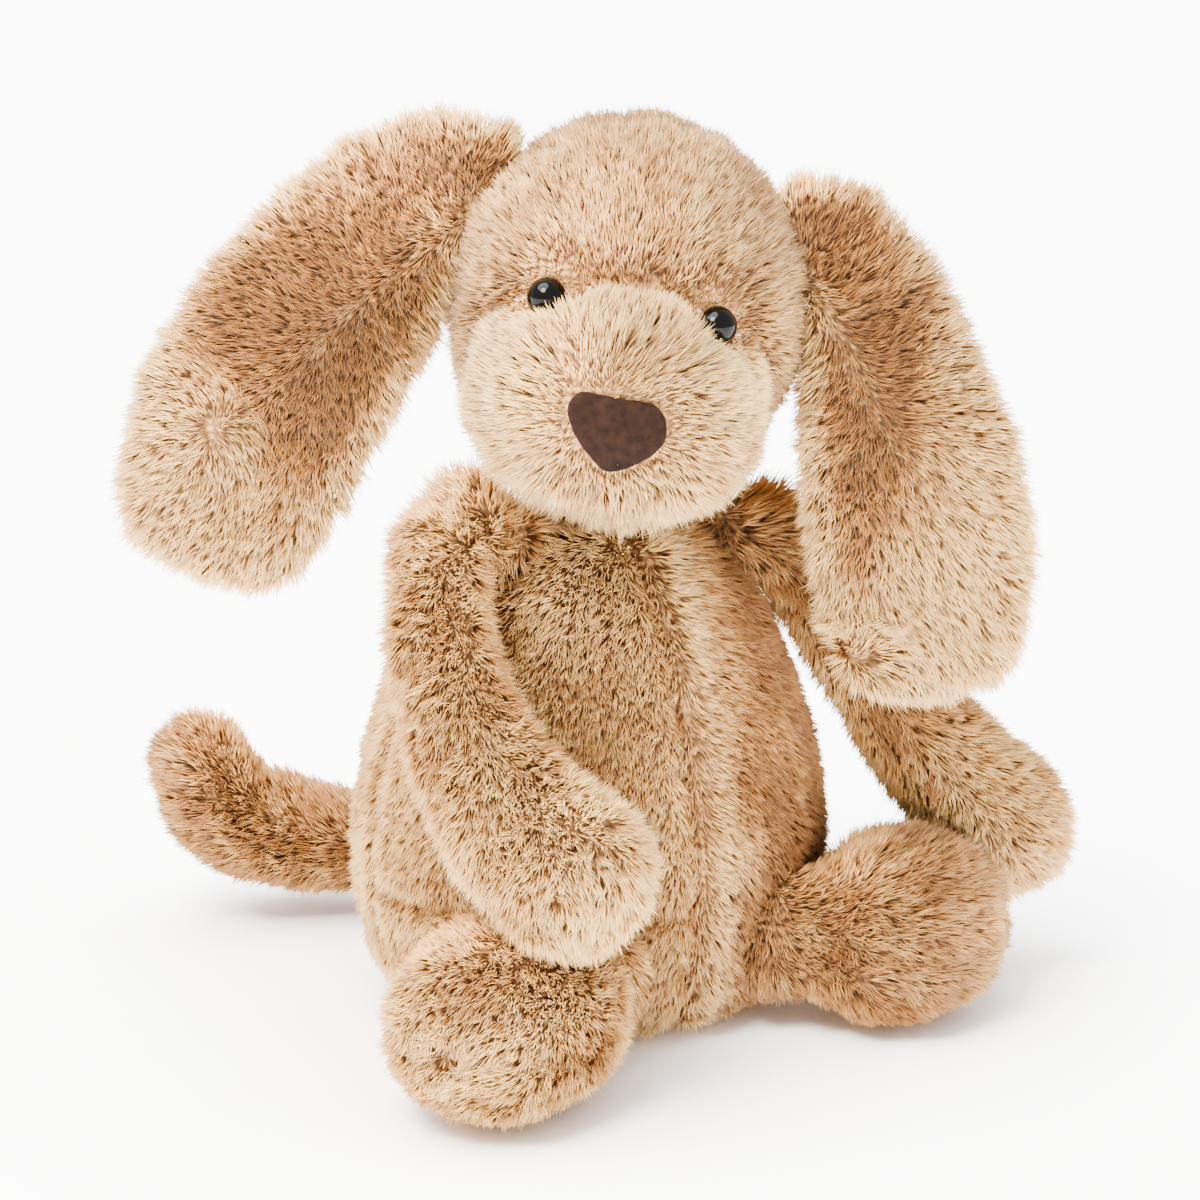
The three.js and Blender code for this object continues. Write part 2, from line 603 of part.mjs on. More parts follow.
function buildHead() {
  const packed = fabric + sewGap;
  const neckSeat = ballTool(neckCentre.clone().applyMatrix4(toHead), neck.radius + jointGap);
  const earSeats = Object.values(ears).map(seamSeat);
  const eyeHoles = eyes.map((place) => eyePocket(place, eye.shank / 2 + 0.3, 6, -8));
  const pressed = eyes.map((place) => eyePocket(place, eye.diameter / 2 + 0.3, 6, 0.1));
  const shankEnd = -eye.shankLength - sewGap;
  const eyeSpaces = eyes.map((place) => eyePocket(place, eye.washer / 2 + sewGap, 6, shankEnd));
  const seats = [neckSeat, ...earSeats];
  const gusset = gussetAngle / 180;
  const pockets = [...seats, ...eyeHoles, ...pressed];
  const shell = (name, geometry) => piece(headGroup, name, cut(geometry, pockets), plush());
  shell('head_side_panel_right', capPanel(headSurface, 0.5 - gusset));
  shell('head_side_panel_left', capPanel(headSurface, 0.5 - gusset, true));
  shell('head_crown_panel', panel(headSurface, 0.5 - gusset, 0.5 + gusset, 0, chinSeam));
  shell('head_chin_panel', panel(headSurface, 0.5 - gusset, 0.5 + gusset, chinSeam, 1));
  piece(headGroup, 'head_stuffing', cut(core(headSurface, packed), [...seats, ...eyeSpaces]), stuffing());
}
buildHead();

function buildEyes() {
  for (const { side, point, turn } of eyes) {
    const parts = [
      [`eye_${side}`, eyeGeometry(), gloss()],
      [`eye_washer_${side}`, washerGeometry(), plastic()],
    ];
    for (const [name, geometry, material] of parts) {
      const mesh = piece(headGroup, name, geometry, material);
      mesh.position.copy(point);
      mesh.quaternion.copy(turn);
    }
  }
}
buildEyes();

// The nose is a soft rounded triangle of suede that follows the muzzle's front.
function buildNose() {
  const { width, height } = nose;
  const outline = new THREE.Shape();
  outline.moveTo(-width * 0.36, height * 0.5);
  outline.lineTo(width * 0.3, height * 0.5);
  outline.quadraticCurveTo(width * 0.52, height * 0.4, width * 0.5, height * 0.05);
  outline.quadraticCurveTo(width * 0.4, -height * 0.3, width * 0.06, -height * 0.5);
  outline.quadraticCurveTo(-width * 0.04, -height * 0.54, -width * 0.12, -height * 0.44);
  outline.quadraticCurveTo(-width * 0.42, -height * 0.1, -width * 0.5, height * 0.22);
  outline.quadraticCurveTo(-width * 0.5, height * 0.44, -width * 0.36, height * 0.5);
  const stamp = new THREE.ExtrudeGeometry(outline, { depth: 30, bevelEnabled: false, curveSegments: 5 });
  stamp.rotateX(90 * deg);
  const front = headFront(0, -nose.drop).point;
  stamp.translate(0, front.y + 20, -nose.drop);
  const outer = toSolid(core(headSurface, -nose.thickness - sewGap));
  const inner = toSolid(core(headSurface, -sewGap));
  const shape = toSolid(stamp).intersect(outer).subtract(inner);
  piece(headGroup, 'nose_patch', toGeometry(shape), suede());
}
buildNose();

function buildEar(side) {
  const group = new THREE.Group();
  headGroup.add(group);
  const { surface } = ears[side];
  const ends = 0.07;
  piece(group, `ear_${side}_outer_panel`, panel(surface, ends, 1 - ends, 0.5, 1), plush());
  piece(group, `ear_${side}_lining`, panel(surface, ends, 1 - ends, 0, 0.5), lining());
  piece(group, `ear_${side}_filling`, core(surface, fabric + sewGap), stuffing());
}
buildEar('right');
buildEar('left');

export default dog;
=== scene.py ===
import json
import math

import bmesh
import bpy
import numpy as np
from mathutils import Matrix, Vector
from mathutils.bvhtree import BVHTree


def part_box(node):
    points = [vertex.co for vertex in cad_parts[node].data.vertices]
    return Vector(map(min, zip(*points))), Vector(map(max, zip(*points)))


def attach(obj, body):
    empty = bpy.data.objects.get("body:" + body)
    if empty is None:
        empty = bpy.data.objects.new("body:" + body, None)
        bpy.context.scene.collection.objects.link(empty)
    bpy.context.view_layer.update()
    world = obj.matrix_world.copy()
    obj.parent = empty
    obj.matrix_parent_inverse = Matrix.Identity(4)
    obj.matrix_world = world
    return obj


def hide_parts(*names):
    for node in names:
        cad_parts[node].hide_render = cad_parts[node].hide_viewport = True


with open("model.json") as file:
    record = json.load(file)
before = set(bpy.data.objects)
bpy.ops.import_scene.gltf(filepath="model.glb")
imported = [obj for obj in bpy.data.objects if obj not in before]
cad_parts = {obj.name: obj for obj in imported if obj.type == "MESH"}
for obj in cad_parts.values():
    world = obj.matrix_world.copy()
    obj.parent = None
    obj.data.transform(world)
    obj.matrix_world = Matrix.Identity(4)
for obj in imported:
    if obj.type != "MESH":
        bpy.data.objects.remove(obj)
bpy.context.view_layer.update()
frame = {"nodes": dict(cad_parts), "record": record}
mm = 0.001
bodies = frame["record"]["behaviour"]["bodies"]
joints = {j["child"]: j for j in frame["record"]["behaviour"]["joints"]}
print("frame loaded:", len(frame["nodes"]), "CAD nodes")


# small helpers

def hexColour(code):
    parts = [int(code[i:i + 2], 16) / 255 for i in (1, 3, 5)]
    return tuple(p / 12.92 if p <= 0.04045 else ((p + 0.055) / 1.055) ** 2.4 for p in parts) + (1.0,)


def addNode(tree, kind, links=None, **settings):
    # links maps an input (name or number) to a socket or a plain value
    node = tree.nodes.new(kind)
    for key, value in settings.items():
        setattr(node, key, value)
    for key, value in (links or {}).items():
        socket = node.inputs[key]
        if isinstance(value, bpy.types.NodeSocket):
            tree.links.new(value, socket)
        else:
            socket.default_value = value
    return node


def newMaterial(name):
    material = bpy.data.materials.new(name)
    material.use_nodes = True
    tree = material.node_tree
    tree.nodes.clear()
    output = tree.nodes.new("ShaderNodeOutputMaterial")
    shader = tree.nodes.new("ShaderNodeBsdfPrincipled")
    tree.links.new(shader.outputs["BSDF"], output.inputs["Surface"])
    return material, tree, shader


def fillRamp(ramp, stops):
    elements = ramp.color_ramp.elements
    while len(elements) < len(stops):
        elements.new(0.5)
    for element, (place, code) in zip(elements, stops):
        element.position = place
        element.color = hexColour(code)


# materials

pileLook = {
    # colour along each strand from root to tip; the dark root is partly painted shade deep in the pile
    "stops": [(0.0, "#744618"), (0.22, "#A56C2E"), (0.45, "#D09A50"), (0.70, "#EDBF74"), (1.0, "#FDDA98")],
    "shades": [(0.0, "#80613F"), (0.28, "#C0A07A"), (0.75, "#FFFFFF")],
    "roughness": 0.62,
}


def makePileMaterial(name, look):
    # Polyester plush pile: dark at the root and pale towards the tip, partly the fibre's own dye and partly
    # painted shade deep in the pile, so partings show brown
    material, tree, shader = newMaterial(name)
    uv = addNode(tree, "ShaderNodeUVMap", uv_map="OFBake")
    split = addNode(tree, "ShaderNodeSeparateXYZ", {0: uv.outputs["UV"]})
    along = addNode(tree, "ShaderNodeValToRGB", {0: split.outputs["Y"]})
    fillRamp(along, look["stops"])
    shade = addNode(tree, "ShaderNodeValToRGB", {0: split.outputs["X"]})
    fillRamp(shade, look["shades"])
    tone = addNode(tree, "ShaderNodeMix", {0: 1.0, 6: along.outputs[0], 7: shade.outputs[0]},
                   data_type="RGBA", blend_type="MULTIPLY")
    tree.links.new(tone.outputs[2], shader.inputs["Base Color"])
    shader.inputs["Roughness"].default_value = look["roughness"]
    shader.inputs["Specular IOR Level"].default_value = 0.25
    shader.inputs["Sheen Weight"].default_value = 0.08
    shader.inputs["Sheen Roughness"].default_value = 0.5
    shader.inputs["Sheen Tint"].default_value = hexColour("#FFE9C8")
    return material


def makeKnitMaterial(name, code, darkCode, pitch):
    # Weft-knitted backing cloth: rows of small loops, pitch in mm
    material, tree, shader = newMaterial(name)
    place = addNode(tree, "ShaderNodeTexCoord")
    waves = {"Vector": place.outputs["Object"], "Scale": 0.5 / (pitch * mm) / math.pi, "Distortion": 1.2,
             "Detail": 1.0}
    wales = addNode(tree, "ShaderNodeTexWave", waves, bands_direction="X")
    courses = addNode(tree, "ShaderNodeTexWave", waves, bands_direction="Z")
    loops = addNode(tree, "ShaderNodeMath", {0: wales.outputs["Fac"], 1: courses.outputs["Fac"]},
                    operation="MULTIPLY")
    tone = addNode(tree, "ShaderNodeValToRGB", {0: loops.outputs[0]})
    fillRamp(tone, [(0.0, darkCode), (0.6, code)])
    bump = addNode(tree, "ShaderNodeBump",
                   {"Strength": 0.5, "Distance": 0.3 * mm, "Height": loops.outputs[0]})
    tree.links.new(tone.outputs[0], shader.inputs["Base Color"])
    tree.links.new(bump.outputs[0], shader.inputs["Normal"])
    shader.inputs["Roughness"].default_value = 0.9
    shader.inputs["Specular IOR Level"].default_value = 0.2
    return material


def makeFibreMaterial(name):
    # Carded polyester filling: white, matt, with soft cloudy lumps and fine crossing fibres
    material, tree, shader = newMaterial(name)
    place = addNode(tree, "ShaderNodeTexCoord")
    lumps = addNode(tree, "ShaderNodeTexNoise",
                    {"Vector": place.outputs["Object"], "Scale": 1 / (9 * mm), "Detail": 6.0})
    tone = addNode(tree, "ShaderNodeValToRGB", {0: lumps.outputs[0]})
    fillRamp(tone, [(0.3, "#D9D6CE"), (0.7, "#FBFAF7")])
    bump = addNode(tree, "ShaderNodeBump",
                   {"Strength": 0.6, "Distance": 0.6 * mm, "Height": lumps.outputs[0]})
    tree.links.new(tone.outputs[0], shader.inputs["Base Color"])
    tree.links.new(bump.outputs[0], shader.inputs["Normal"])
    shader.inputs["Roughness"].default_value = 0.95
    return material


def makeSuedeMaterial(name):
    # Napped suede cloth: dark brown, matt, mottled where the nap lies in different ways
    material, tree, shader = newMaterial(name)
    place = addNode(tree, "ShaderNodeTexCoord")
    mottle = addNode(tree, "ShaderNodeTexNoise",
                     {"Vector": place.outputs["Object"], "Scale": 1 / (2.2 * mm), "Detail": 8.0})
    tone = addNode(tree, "ShaderNodeValToRGB", {0: mottle.outputs[0]})
    fillRamp(tone, [(0.3, "#0F0603"), (0.7, "#21110A")])
    nap = addNode(tree, "ShaderNodeTexNoise",
                  {"Vector": place.outputs["Object"], "Scale": 1 / (0.35 * mm), "Detail": 4.0})
    bump = addNode(tree, "ShaderNodeBump", {"Strength": 0.7, "Distance": 0.2 * mm, "Height": nap.outputs[0]})
    tree.links.new(tone.outputs[0], shader.inputs["Base Color"])
    tree.links.new(bump.outputs[0], shader.inputs["Normal"])
    shader.inputs["Roughness"].default_value = 0.92
    shader.inputs["Specular IOR Level"].default_value = 0.1
    shader.inputs["Sheen Weight"].default_value = 0.06
    shader.inputs["Sheen Roughness"].default_value = 0.4
    shader.inputs["Sheen Tint"].default_value = hexColour("#B07A55")
    return material


def makeEyeMaterial(name):
    # Black moulded acrylic, polished: sharp reflections under a clear skin, with faint moulding ripple
    material, tree, shader = newMaterial(name)
    place = addNode(tree, "ShaderNodeTexCoord")
    ripple = addNode(tree, "ShaderNodeTexNoise",
                     {"Vector": place.outputs["Object"], "Scale": 1 / (3 * mm), "Detail": 1.0})
    tone = addNode(tree, "ShaderNodeValToRGB", {0: ripple.outputs[0]})
    fillRamp(tone, [(0.3, "#020202"), (0.7, "#050404")])
    bump = addNode(tree, "ShaderNodeBump",
                   {"Strength": 0.05, "Distance": 0.05 * mm, "Height": ripple.outputs[0]})
    tree.links.new(tone.outputs[0], shader.inputs["Base Color"])
    tree.links.new(bump.outputs[0], shader.inputs["Normal"])
    shader.inputs["Roughness"].default_value = 0.05
    shader.inputs["Specular IOR Level"].default_value = 0.12
    return material


def makeWasherMaterial(name):
    # Natural polypropylene washer: translucent white, satin, with fine mould texture
    material, tree, shader = newMaterial(name)
    place = addNode(tree, "ShaderNodeTexCoord")
    grain = addNode(tree, "ShaderNodeTexNoise",
                    {"Vector": place.outputs["Object"], "Scale": 1 / (0.8 * mm), "Detail": 3.0})
    tone = addNode(tree, "ShaderNodeValToRGB", {0: grain.outputs[0]})
    fillRamp(tone, [(0.3, "#DEDCD4"), (0.7, "#F1F0EA")])
    bump = addNode(tree, "ShaderNodeBump",
                   {"Strength": 0.2, "Distance": 0.1 * mm, "Height": grain.outputs[0]})
    tree.links.new(tone.outputs[0], shader.inputs["Base Color"])
    tree.links.new(bump.outputs[0], shader.inputs["Normal"])
    shader.inputs["Roughness"].default_value = 0.45
    return material


pileMaterial = makePileMaterial("polyesterPlushPile", pileLook)
backingMaterial = makeKnitMaterial("knittedBackingCloth", "#C4965F", "#8C6439", 0.9)
fibreMaterial = makeFibreMaterial("polyesterFilling")
beanMaterial = makeKnitMaterial("beanPouchCloth", "#DDD8CC", "#B8B2A4", 0.7)
ribbonMaterial = makeKnitMaterial("wovenSatinRibbon", "#F6F4EF", "#DAD6CC", 0.5)
suedeMaterial = makeSuedeMaterial("nappedSuedeCloth")
eyeMaterial = makeEyeMaterial("polishedBlackAcrylic")
washerMaterial = makeWasherMaterial("naturalPolypropylene")
print("materials made")


# camera, lights and floor

view = {"azimuth": -28, "elevation": 14, "distance": 775, "lens": 100, "target": (2, -1, 94)}


def makeCamera():
    azimuth, elevation = math.radians(view["azimuth"]), math.radians(view["elevation"])
    target = Vector(view["target"]) * mm
    level = math.cos(elevation)
    back = Vector((math.sin(azimuth) * level, -math.cos(azimuth) * level, math.sin(elevation)))
    camera = bpy.data.objects.new("frontCamera", bpy.data.cameras.new("frontCamera"))
    camera.data.lens = view["lens"]
    camera.data.sensor_width = 36
    camera.location = target + back * view["distance"] * mm
    camera.rotation_euler = (-back).to_track_quat("-Z", "Y").to_euler()
    bpy.context.scene.collection.objects.link(camera)
    bpy.context.scene.camera = camera
    return camera


def makeLamp(name, side, height, away, size, power, colour="#FFFFFF"):
    # side is degrees to the right of the camera, seen from the toy
    azimuth = math.radians(view["azimuth"] + side)
    lamp = bpy.data.objects.new(name, bpy.data.lights.new(name, "AREA"))
    lamp.data.shape = "SQUARE"
    lamp.data.size = size * mm
    lamp.data.energy = power
    lamp.data.color = hexColour(colour)[:3]
    lamp.location = Vector((math.sin(azimuth) * away, -math.cos(azimuth) * away, height)) * mm
    lamp.rotation_euler = (lamp.location - Vector((0, 0, 90 * mm))).to_track_quat("Z", "Y").to_euler()
    bpy.context.scene.collection.objects.link(lamp)


def makeStage():
    makeCamera()
    makeLamp("keySoftbox", -30, 760, 560, 300, 24.0, "#FFF6E8")
    overhead = bpy.data.objects.new("overheadLight", bpy.data.lights.new("overheadLight", "SUN"))
    overhead.data.energy = 11.0
    overhead.data.angle = math.radians(50)
    turn = math.radians(view["azimuth"] - 60)
    towards = Vector((0.45 * math.sin(turn), -0.45 * math.cos(turn), 1.0))
    overhead.rotation_euler = towards.to_track_quat("Z", "Y").to_euler()
    bpy.context.scene.collection.objects.link(overhead)
    world = bpy.data.worlds.new("studio")
    world.use_nodes = True
    world.node_tree.nodes["Background"].inputs["Color"].default_value = hexColour("#FFFFFF")
    world.node_tree.nodes["Background"].inputs["Strength"].default_value = 1.9
    bpy.context.scene.world = world
    mesh = bpy.data.meshes.new("floor")
    reach = 6000 * mm
    corners = [(-reach, -reach, 0), (reach, -reach, 0), (reach, reach, 0), (-reach, reach, 0)]
    mesh.from_pydata(corners, [], [(0, 1, 2, 3)])
    floor = bpy.data.objects.new("floor", mesh)
    bpy.context.scene.collection.objects.link(floor)
    material, tree, shader = newMaterial("paleFloor")
    shader.inputs["Base Color"].default_value = hexColour("#FBFAF8")
    shader.inputs["Roughness"].default_value = 0.8
    shader.inputs["Specular IOR Level"].default_value = 0.1
    shader.inputs["Emission Color"].default_value = hexColour("#FFFFFF")
    # the floor glows so that it runs out to white; the glow is dimmed by ambient occlusion where the toy
    # stands over it, a painted contact shadow
    paintedShadowAO = addNode(tree, "ShaderNodeAmbientOcclusion", {"Distance": 130 * mm})
    glow = addNode(tree, "ShaderNodeMath", {0: paintedShadowAO.outputs["AO"], 1: 3.0}, operation="POWER")
    strength = addNode(tree, "ShaderNodeMath", {0: glow.outputs[0], 1: 6.0}, operation="MULTIPLY")
    tree.links.new(strength.outputs[0], shader.inputs["Emission Strength"])
    mesh.materials.append(material)


makeStage()
print("camera, lights and floor made")


# skins: one smooth closed cloth surface for each body, from its CAD pieces

skinLook = {"voxel": 1.6, "smoothings": 6}  # voxel in mm


def meshObject(name, vertices, faces):
    mesh = bpy.data.meshes.new(name)
    mesh.from_pydata(vertices, [], faces)
    mesh.update()
    obj = bpy.data.objects.new(name, mesh)
    bpy.context.scene.collection.objects.link(obj)
    return obj


def nodeMesh(names):
    # the joined triangles of some CAD nodes, with their doubles merged
    joined = bmesh.new()
    for name in names:
        joined.from_mesh(frame["nodes"][name].data)
    bmesh.ops.remove_doubles(joined, verts=joined.verts, dist=1e-6)
    return joined


def nodeTree(names):
    joined = nodeMesh(names)
    tree = BVHTree.FromBMesh(joined)
    joined.free()
    return tree


def finished(obj):
    # the object with its modifiers applied, as a plain mesh
    depsgraph = bpy.context.evaluated_depsgraph_get()
    mesh = bpy.data.meshes.new_from_object(obj.evaluated_get(depsgraph))
    obj.modifiers.clear()
    obj.data = mesh
    mesh.name = obj.name
    return obj


def remeshed(name, nodes, voxel, smoothings):
    joined = nodeMesh(nodes)
    mesh = bpy.data.meshes.new(name)
    joined.to_mesh(mesh)
    joined.free()
    obj = bpy.data.objects.new(name, mesh)
    bpy.context.scene.collection.objects.link(obj)
    remesh = obj.modifiers.new("remesh", "REMESH")
    remesh.mode = "VOXEL"
    remesh.voxel_size = voxel * mm
    smooth = obj.modifiers.new("smooth", "SMOOTH")
    smooth.factor = 0.5
    smooth.iterations = smoothings
    return finished(obj)


def largestShell(obj):
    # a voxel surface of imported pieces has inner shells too: only the outer one is kept
    shape = bmesh.new()
    shape.from_mesh(obj.data)
    seen = set()
    shells = []
    for start in shape.verts:
        if start.index in seen:
            continue
        stack, shell = [start], []
        seen.add(start.index)
        while stack:
            vertex = stack.pop()
            shell.append(vertex)
            for edge in vertex.link_edges:
                other = edge.other_vert(vertex)
                if other.index not in seen:
                    seen.add(other.index)
                    stack.append(other)
        shells.append(shell)
    shells.sort(key=len)
    spare = [vertex for shell in shells[:-1] for vertex in shell]
    bmesh.ops.delete(shape, geom=spare, context="VERTS")
    shape.to_mesh(obj.data)
    shape.free()
    return len(shells)


def coords(mesh):
    values = np.empty(len(mesh.vertices) * 3)
    mesh.vertices.foreach_get("co", values)
    return values.reshape(-1, 3)


def normals(mesh):
    values = np.empty(len(mesh.vertices) * 3, dtype=np.float32)
    mesh.vertex_normals.foreach_get("vector", values)
    return values.reshape(-1, 3).astype(float)


skins = {}
for body, names in bodies.items():
    solid = [n for n in names if not n.startswith(("eye", "care", "nose"))]
    skins[body] = remeshed("skin_" + body, solid, skinLook["voxel"], skinLook["smoothings"])
    count = largestShell(skins[body])
    print("skin", body, "shells", count, "vertices", len(skins[body].data.vertices))


# lay of the pile: at each point of a skin, which way it flows, how long it is and how much there is

def middle(*nodes):
    corners = [Vector(corner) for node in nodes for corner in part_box(node)]
    return np.array(sum(corners, Vector()) / len(corners))


def unit(values):
    return values / np.maximum(np.linalg.norm(values, axis=-1, keepdims=True), 1e-9)


def alongSkin(values, outward):
    return values - outward * np.sum(values * outward, axis=-1, keepdims=True)


def nearness(points, place, reach):
    # 1 at the place, fading to 0 over the reach in mm
    return np.exp(-(np.linalg.norm(points - place, axis=-1) / (reach * mm)) ** 2)


def smoothStep(values, low, high):
    t = np.clip((values - low) / (high - low), 0, 1)
    return t * t * (3 - 2 * t)


nosePlace = middle("nose_patch")
eyePlaces = [middle("eye_right"), middle("eye_left")]
headSide = unit(np.array(joints["head"]["axis"]))
headFront = unit(np.cross(headSide, (0, 0, 1)))
headUp = np.cross(headFront, headSide) * (1 if np.cross(headFront, headSide)[2] > 0 else -1)
headMiddle = nosePlace - 56 * mm * headFront + 18.5 * mm * headUp
muzzleLook = {
    "forward": 33, "drop": 17,  # mm from the head's middle
    "half": (31, 23, 22),  # half its width, depth and height in mm
    "crease": 2.2, "ledge": 1.4,  # mm that the skull dips above it, and that its upper edge stands proud
}
muzzleMiddle = headMiddle + muzzleLook["forward"] * mm * headFront - muzzleLook["drop"] * mm * headUp


def onMuzzle(p):
    # how far a point is from the muzzle's middle, where 1 is on its surface
    away = p - muzzleMiddle
    ways = zip((headSide, headFront, headUp), muzzleLook["half"])
    return np.linalg.norm(np.stack([away @ way / (half * mm) for way, half in ways], axis=1), axis=1)


sewnPoint = {body: np.array(joint["pos_m"]) for body, joint in joints.items()}
down = np.array((0.0, 0.0, -1.0))
up = -down


def torsoLay(p, n):
    # down the body, parting at the belly seam, and outwards under the seat
    fromSeam = p[:, 0] - sewnPoint["neck"][0]
    away = np.zeros_like(p)
    away[:, 0] = np.sign(fromSeam) * np.exp(-np.abs(fromSeam) / (16 * mm)) * (p[:, 1] < 0)
    out = unit(p * (1, 1, 0))
    under = smoothStep(-n[:, 2], 0.55, 0.9)[:, None]
    return (down + 0.7 * away) * (1 - under) + out * under


def headLay(p, n):
    # out from a crown beside the nose over the muzzle; up and back over the brow and cheeks, then down behind
    crown = nosePlace - 5 * mm * headSide + 4 * mm * headUp
    forward = (p - headMiddle) @ headFront
    behind = smoothStep(-forward, 0.0, 30 * mm)[:, None]
    fromFace = unit(p - (headMiddle + 40 * mm * headFront))
    skull = fromFace * (1 - behind) + unit(fromFace + 1.5 * down) * behind
    muzzle = (1 - smoothStep(onMuzzle(p), 1.04, 1.16))[:, None]
    way = skull * (1 - muzzle) + unit(p - crown) * muzzle
    for eye in eyePlaces:
        near = nearness(p, eye, 12)[:, None]
        way = way * (1 - 0.95 * near) + unit(p - eye) * 0.95 * near
    return way


def earCrown(body, p):
    # the point in the broad part of the ear that its pile spreads from
    reach = np.linalg.norm(p - sewnPoint[body], axis=1)
    middlePlace = p[reach > np.quantile(reach, 0.35)].mean(axis=0)
    drop = 5 if body == "ear_right" else 30
    return middlePlace - 9 * mm * headSide - drop * mm * headUp


def earLay(body):
    # away from the crown near it, and elsewhere down the ear and out over the rim
    def lay(p, n):
        crown = earCrown(body, p)
        near = 0.8 * nearness(p, crown, 18)[:, None]
        spine = p.mean(axis=0)
        outwards = unit(unit(p - sewnPoint[body]) + 0.9 * unit(p - spine))
        return unit(p - crown) * near + outwards * (1 - near)
    return lay


def limbLay(body, sag=0.15):
    def lay(p, n):
        return unit(p - sewnPoint[body]) + sag * down
    return lay


def pile(length, lie, density, clumps, lean, lay):
    # length in mm, lie from 0 (upright) to 1 (flat), strands in each square mm, clump spacing in mm
    return {"length": length, "lie": lie, "density": density, "clumps": clumps, "lean": lean, "lay": lay}


pileSettings = {
    "torso": pile(5.2, 0.8, 4.0, 1.25, 0.55, torsoLay),
    "neck": pile(4.0, 0.7, 2.0, 1.35, 0.3, limbLay("neck", 1.0)),
    "head": pile(6.0, 0.8, 4.4, 1.25, 0.5, headLay),
    "ear_right": pile(7.0, 0.75, 3.6, 1.45, 0.6, earLay("ear_right")),
    "ear_left": pile(7.0, 0.75, 3.6, 1.45, 0.6, earLay("ear_left")),
    "arm_right": pile(7.0, 0.7, 3.8, 1.45, 0.6, limbLay("arm_right")),
    "arm_left": pile(7.0, 0.7, 3.8, 1.45, 0.6, limbLay("arm_left")),
    "leg_right": pile(6.2, 0.75, 3.8, 1.35, 0.55, limbLay("leg_right")),
    "leg_left": pile(6.2, 0.75, 3.8, 1.35, 0.55, limbLay("leg_left")),
    "tail": pile(7.5, 0.8, 3.6, 1.5, 0.6, limbLay("tail", 0.0)),
}

floorGap = 1.3  # mm of cloth above the floor, where the pile is pressed flat
skinTrees = {body: BVHTree.FromPolygons([v.co for v in skin.data.vertices],
                                        [f.vertices for f in skin.data.polygons])
             for body, skin in skins.items()}
noseTree = nodeTree(["nose_patch"])
eyeTree = nodeTree(["eye_right", "eye_left"])
panels = {body: [n for n in names if "_panel" in n or n.endswith(("_skin", "_lining"))]
          for body, names in bodies.items()}
panelTrees = {name: nodeTree([name]) for names in panels.values() for name in names}


def distances(tree, points, reach):
    found = (tree.find_nearest(Vector(p), reach * mm) for p in points)
    return np.array([reach if hit[3] is None else hit[3] / mm for hit in found])


def store(mesh, name, kind, values):
    attribute = mesh.attributes.new(name, kind, "POINT")
    field = "vector" if kind == "FLOAT_VECTOR" else "value"
    attribute.data.foreach_set(field, np.asarray(values, dtype=np.float32).ravel())


# mm of pile added on the torso's top, the shoulders and under the chin, and left where cloth is close
lengthLook = {"torsoTop": 1.8, "shoulder": 4.0, "underChin": 2.0, "squeezed": 2.5, "seatLoss": 0.5}
# how much paler (or darker, below 0) each place is than the rest of the pile; the crease, ledge, ear, foot
# top and left-side values are painted shade and painted light, the others the pile's own tone
toneLook = {
    "muzzle": 0.3, "ledge": 0.12, "crease": -0.25, "earRim": 0.25, "earTip": 0.2, "earMiddle": -0.95,
    "limbEnd": 0.35, "limbRoot": -0.04, "paintedFootTopShade": -0.2, "paintedLeftArmShade": -0.2, "paintedLeftLegAndTailShade": -0.22,
    "front": 0.12, "paintedLeftFrontShade": -0.6,
}
# widths in mm: a seam is sunk and dark, and the cloth beside it is raised and pale
seamLook = {"width": 2.2, "beside": 5, "raised": 0.5, "darkWidth": 1.6, "paleWidth": 2.5, "dark": 0.35,
            "pale": 0.15, "crossHeight": 34}


def seamStrength(body):
    if body == "head" or body.startswith("ear"):
        return 0.3
    return 1.5 if body == "torso" else 0.9


